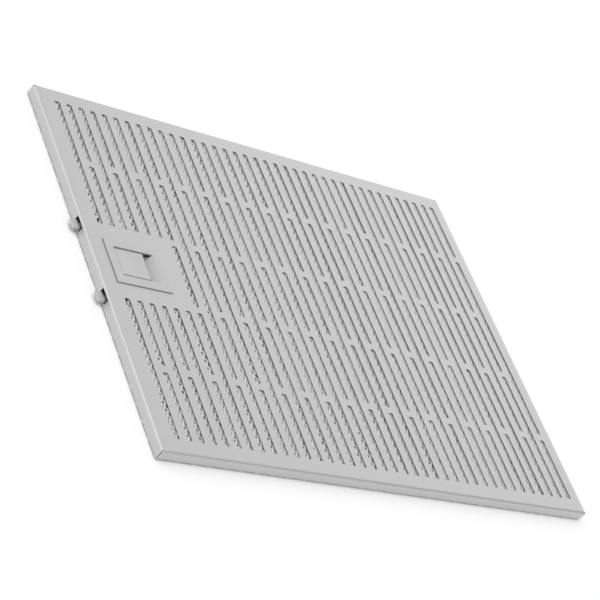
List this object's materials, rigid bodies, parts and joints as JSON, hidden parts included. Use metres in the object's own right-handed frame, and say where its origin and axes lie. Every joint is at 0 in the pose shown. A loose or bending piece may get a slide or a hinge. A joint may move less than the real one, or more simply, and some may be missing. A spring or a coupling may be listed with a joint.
{
  "type": "range hood grease filter cassette",
  "caption": "Flat aluminium grease filter cassette: slotted tray with folded rim over expanded mesh layers, and a sprung plastic latch with two locking tongues.",
  "frame": {"origin": "bottom centre of the bounding box, locking tongues included, on the surface that the cassette lies on with its perforated face up", "axes": "+X from the latch edge to the far edge, +Y along the latch edge, +Z out of the perforated face"},
  "size_m": [0.403, 0.302, 0.0093],
  "materials": {
    "sheet_aluminium": "satin, light grey rolled sheet",
    "mesh_aluminium": "bright expanded foil",
    "grey_plastic": "light grey moulded, fine texture",
    "spring_steel": "drawn wire"
  },
  "bodies": {
    "cassette": {"front_tray": "sheet_aluminium", "rear_rail_latch_side": "sheet_aluminium", "rear_rail_far_side": "sheet_aluminium", "rear_rail_upper": "sheet_aluminium", "rear_rail_lower": "sheet_aluminium", "rear_grille": "mesh_aluminium", "mesh_layer_1": "mesh_aluminium", "mesh_layer_2": "mesh_aluminium", "mesh_layer_3": "mesh_aluminium", "mesh_layer_4": "mesh_aluminium", "mesh_layer_5": "mesh_aluminium", "mesh_layer_6": "mesh_aluminium", "mesh_layer_7": "mesh_aluminium", "mesh_layer_8": "mesh_aluminium", "latch_bezel": "grey_plastic", "latch_base": "grey_plastic", "return_spring": "spring_steel"},
    "latch_slider": {"finger_plate": "grey_plastic", "locking_yoke": "grey_plastic"}
  },
  "joints": [
    {"name": "latch_slide", "type": "slide", "parent": "cassette", "child": "latch_slider", "axis": [1, 0, 0], "range_m": [0, 0.0055], "stiffness_N_per_m": 500, "springref_m": -0.006, "deforming": ["return_spring"]}
  ]
}
